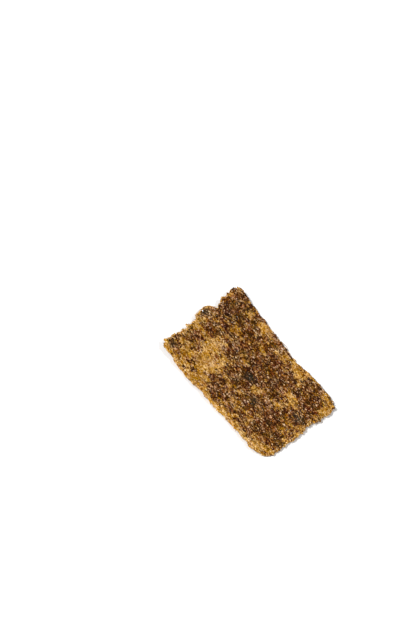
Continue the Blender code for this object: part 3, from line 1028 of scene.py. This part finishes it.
class JERKY_OT_body(bpy.types.Operator):
    """Build the slab's granular body in place of the plain solid"""

    bl_idname = "jerky.body"
    bl_label = "Slab body"

    def execute(self, context):
        shape = context.scene.jerky_shape
        points, faces, inside = slab_surface(shape)
        normals = point_normals(points, faces)
        centred = fit_to_frame(points)
        size = np.array([shape.stretch, 1.0, 1.0])
        grain, grain_tone, grain_crease = lumps(centred, shape.grain * size, GRAIN_SALT)
        crumb, crumb_tone, crumb_crease = lumps(centred, shape.crumb * size, CRUMB_SALT)
        clump_tone = lumps(centred, CLUMP_TONE_SIZE * size, CLUMP_SALT)[1]
        sunk = shape.grain_depth * (1 - grain) + shape.crumb_depth * (1 - crumb)
        moved = centred - normals * sunk[:, None]
        moved[:, 2] = np.maximum(moved[:, 2], CAD_BOX[0].z)
        places = all_places(centred, PALE_PLACES) - all_places(centred, DARK_PLACES)
        # The rim is paler and more golden: partly its own cut edge, and partly painted light, as it leaves
        # out the right side, which faces away from the key light.
        rim = pale_and_lit_rim(centred, inside)
        fat = fatness(centred, places, rim)
        tone = TONE_OF_LEAN + TONE_FROM_FAT * fat + TONE_FROM_PLACES * places + TONE_FROM_PALE_LIT_RIM * rim
        calm = TONE_FROM_GRAINS * (1 - FAT_CALM * fat)
        tone += TONE_FROM_CLUMPS * (clump_tone - 0.5) + calm * (grain_tone + crumb_tone - 1)
        # Creases between lumps are made darker, the more the lower the grain is there: painted shade.
        tone -= GRAIN_CREASE_SHADE * grain_crease * (1 - grain) + CRUMB_CREASE_SHADE * crumb_crease
        values = {"tone": tone, "grey": all_places(centred, GREY_SHEEN_PLACES), "fat": fat}
        colours = context.scene.jerky_colours
        material = meat_material("dried_mince", colours, shine=0.04, fine=0.65 * MM, bump=0.8, speckle=1.15)
        body = mesh_object(BODY_NAME, moved, faces, values, material)
        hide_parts(SLAB_NODE)
        return {"FINISHED"}


class JERKY_OT_lean(bpy.types.Operator):
    """Press brown grains of lean meat into the body, most of them where it is lean"""

    bl_idname = "jerky.lean"
    bl_label = "Lean grains"

    def execute(self, context):
        require_body(self)
        sprinkle, colours = context.scene.jerky_sprinkle, context.scene.jerky_colours
        scatter(
            "lean_grains", sprinkle.lean_count, sprinkle.lean_size, flatness=0.7, sink=0.50,
            seed=LEAN_SEED,
            weigh=lambda fat: 1 - 0.7 * fat,
            shade=lambda tone, draw: tone + 0.34 * (draw - 0.6),
            material=meat_material("lean_grain", colours, shine=0.05, fine=0.6 * MM, bump=0.6, speckle=1.05),
        )
        return {"FINISHED"}


class JERKY_OT_fat(bpy.types.Operator):
    """Press pale flecks of dried fat into the body, most of them where it is fat"""

    bl_idname = "jerky.fat"
    bl_label = "Fat flecks"

    def execute(self, context):
        require_body(self)
        sprinkle, colours = context.scene.jerky_sprinkle, context.scene.jerky_colours
        scatter(
            "fat_flecks", sprinkle.fat_count, sprinkle.fat_size, flatness=0.6, sink=0.48,
            seed=FAT_SEED,
            weigh=lambda fat: 0.12 + 0.88 * fat,
            shade=lambda tone, draw: 0.45 * tone + 0.34 + 0.35 * (draw - 0.5),
            material=meat_material("dried_fat", colours, shine=0.06, fine=0.6 * MM, bump=0.6, speckle=0.85),
        )
        return {"FINISHED"}


class JERKY_OT_specks(bpy.types.Operator):
    """Press tiny pale specks into the body, whose pale colour also stands in for glints: painted highlight"""

    bl_idname = "jerky.specks"
    bl_label = "Pale specks"

    def execute(self, context):
        require_body(self)
        sprinkle, colours = context.scene.jerky_sprinkle, context.scene.jerky_colours
        scatter(
            "pale_specks", sprinkle.speck_count, sprinkle.speck_size, flatness=0.8, sink=0.38,
            seed=SPECK_SEED,
            weigh=lambda fat: 1 - 0.6 * fat,
            # Pale specks, mostly in the lean: their colour also stands in for glints, a painted highlight.
            shade=lambda tone, draw: 0.85 * tone + 0.41 + 0.5 * (draw - 0.5),
            material=meat_material("pale_glint_speck", colours, shine=0.20, fine=0.7 * MM, bump=0.3, speckle=0.5),
        )
        return {"FINISHED"}


class JERKY_OT_crumbs(bpy.types.Operator):
    """Press nearly black crumbs into the body, which stand in for the shade in small pits: painted shade"""

    bl_idname = "jerky.crumbs"
    bl_label = "Dark crumbs"

    def execute(self, context):
        require_body(self)
        sprinkle, colours = context.scene.jerky_sprinkle, context.scene.jerky_colours
        scatter(
            "dark_crumbs", sprinkle.pit_shade_crumb_count, sprinkle.pit_shade_crumb_size, flatness=0.7, sink=0.45,
            seed=CRUMB_SEED,
            weigh=lambda fat: 1 - 0.6 * fat,
            # A near-black tone in place of the shade in small pits: painted shade.
            shade=lambda tone, draw: 0.02 + 0.16 * draw,
            material=meat_material("pit_shade_crumb", colours, shine=0.10, fine=0.6 * MM, bump=0.5, speckle=0.3),
        )
        return {"FINISHED"}


class JERKY_OT_fibres(bpy.types.Operator):
    """Lay short fibres of meat over the top, most of them along the slab"""

    bl_idname = "jerky.fibres"
    bl_label = "Meat fibres"

    def execute(self, context):
        require_body(self)
        sprinkle, colours = context.scene.jerky_sprinkle, context.scene.jerky_colours
        surface, normals = read_surface()
        tone, grey, fat = read_values()
        generator = np.random.default_rng(FIBRE_SEED)
        weight = np.where(normals[:, 2] > FIBRE_FACING, 0.3 + 0.7 * fat, 0.0)
        count = sprinkle.fibre_count
        chosen = generator.choice(len(surface), count, replace=False, p=weight / weight.sum())
        heading = generator.normal(0.0, FIBRE_HEADING, count)
        bend = generator.normal(0.0, FIBRE_BEND, count)
        lengths = sprinkle.fibre_length * np.exp(generator.normal(0.0, FIBRE_LENGTHS, count))
        widths = sprinkle.fibre_width * np.exp(generator.normal(0.0, FIBRE_WIDTHS, count))
        x, y = surface[chosen, 0], surface[chosen, 1]
        height_at = top_heights()
        points = fibre_points(x, y, heading, bend, lengths, widths, height_at).reshape(count, -1, 3)
        kept = inside_box(points) & (points[:, :, 2].min(axis=1) > FIBRE_BASE)
        own = 0.9 * tone[chosen] + 0.22 + 0.5 * (generator.random(count) - 0.5)
        values = bit_values(own, grey[chosen], fat[chosen], kept, points.shape[1])
        material = meat_material("meat_fibre", colours, shine=0.10, fine=0.8 * MM, bump=0.4, speckle=0.4)
        mesh_object("meat_fibres", points[kept].reshape(-1, 3), fibre_faces(kept.sum()), values, material)
        return {"FINISHED"}


class JERKY_OT_stage(bpy.types.Operator):
    """Set the floor, the lights and the camera"""

    bl_idname = "jerky.stage"
    bl_label = "Stage"

    def execute(self, context):
        look = context.scene.jerky_stage
        make_floor(look)
        make_lights(look)
        camera = bpy.data.cameras.new("camera")
        camera.lens = look.lens
        camera.sensor_width = FILM_WIDTH
        holder = bpy.data.objects.new("camera", camera)
        holder.location = look.camera_place
        holder.rotation_euler = Euler(look.camera_turn)
        context.scene.collection.objects.link(holder)
        context.scene.camera = holder
        context.scene.view_settings.view_transform = "Standard"
        return {"FINISHED"}


def make_floor(look):
    """A wide flat floor just under the slab, in a pale matt material with a faint grain."""
    corners = ((-1, -1), (1, -1), (1, 1), (-1, 1))
    points = [(x * FLOOR_HALF, y * FLOOR_HALF, CAD_BOX[0].z) for x, y in corners]
    mesh = bpy.data.meshes.new("floor")
    mesh.from_pydata(points, [], [(0, 1, 2, 3)])
    material, shader, place = begin_material("pale_floor")
    grain = place.out("ShaderNodeTexNoise", None, output=0, Vector=place, Scale=FLOOR_GRAIN)
    whole = (*look.floor, 1.0)
    worn = (*(FLOOR_WORN * part for part in look.floor), 1.0)
    material.node_tree.links.new(grain.mix(whole, worn).output, shader.inputs["Base Color"])
    shader.inputs["Roughness"].default_value = 0.9
    shader.inputs["Specular IOR Level"].default_value = 0.1
    mesh.materials.append(material)
    floor = bpy.data.objects.new("floor", mesh)
    bpy.context.scene.collection.objects.link(floor)


def make_lights(look):
    """Even white light all round, a key light from the camera's left, and a smaller light behind."""
    world = bpy.data.worlds.new("sky")
    world.use_nodes = True
    sky = world.node_tree.nodes["Background"]
    sky.inputs["Color"].default_value = (1.0, 1.0, 1.0, 1.0)
    sky.inputs["Strength"].default_value = look.sky
    bpy.context.scene.world = world
    lights = (
        ("key", KEY_PLACE, KEY_SPREAD, look.key),
        ("spark", SPARK_PLACE, SPARK_SPREAD, look.spark),
    )
    for name, place, spread, strength in lights:
        lamp = bpy.data.lights.new(name, "SUN")
        lamp.angle = spread
        lamp.energy = strength
        holder = bpy.data.objects.new(name, lamp)
        holder.location = place
        holder.rotation_mode = "QUATERNION"
        holder.rotation_quaternion = (-Vector(place)).to_track_quat("-Z", "Y")
        bpy.context.scene.collection.objects.link(holder)


class JERKY_PT_panel(bpy.types.Panel):
    """Lists the pieces of the slab and the stage"""

    bl_idname = "JERKY_PT_panel"
    bl_label = "Jerky slab"
    bl_space_type = "VIEW_3D"
    bl_region_type = "UI"
    bl_category = "Jerky"

    def draw(self, context):
        for operator in OPERATORS:
            self.layout.operator(operator.bl_idname)


GROUPS = {
    "jerky_shape": SlabShape,
    "jerky_sprinkle": Sprinkle,
    "jerky_colours": MeatColours,
    "jerky_stage": StageLook,
}
OPERATORS = (
    JERKY_OT_body, JERKY_OT_lean, JERKY_OT_fat, JERKY_OT_specks, JERKY_OT_crumbs, JERKY_OT_fibres,
    JERKY_OT_stage,
)
CLASSES = (*GROUPS.values(), *OPERATORS, JERKY_PT_panel)


def register():
    """Registers the classes and puts their settings on the scene."""
    for item in CLASSES:
        bpy.utils.register_class(item)
    for name, group in GROUPS.items():
        setattr(bpy.types.Scene, name, PointerProperty(type=group))


def unregister():
    """Takes the settings and the classes away again."""
    for name in GROUPS:
        delattr(bpy.types.Scene, name)
    for item in reversed(CLASSES):
        bpy.utils.unregister_class(item)


def main():
    """Builds the pieces and the stage in an empty scene."""
    register()
    for name in ("Cube", "Light", "Camera"):
        if name in bpy.data.objects:
            bpy.data.objects.remove(bpy.data.objects[name])
    bpy.ops.jerky.body()
    bpy.ops.jerky.lean()
    bpy.ops.jerky.fat()
    bpy.ops.jerky.specks()
    bpy.ops.jerky.crumbs()
    bpy.ops.jerky.fibres()
    bpy.ops.jerky.stage()


if __name__ == "__main__":
    main()
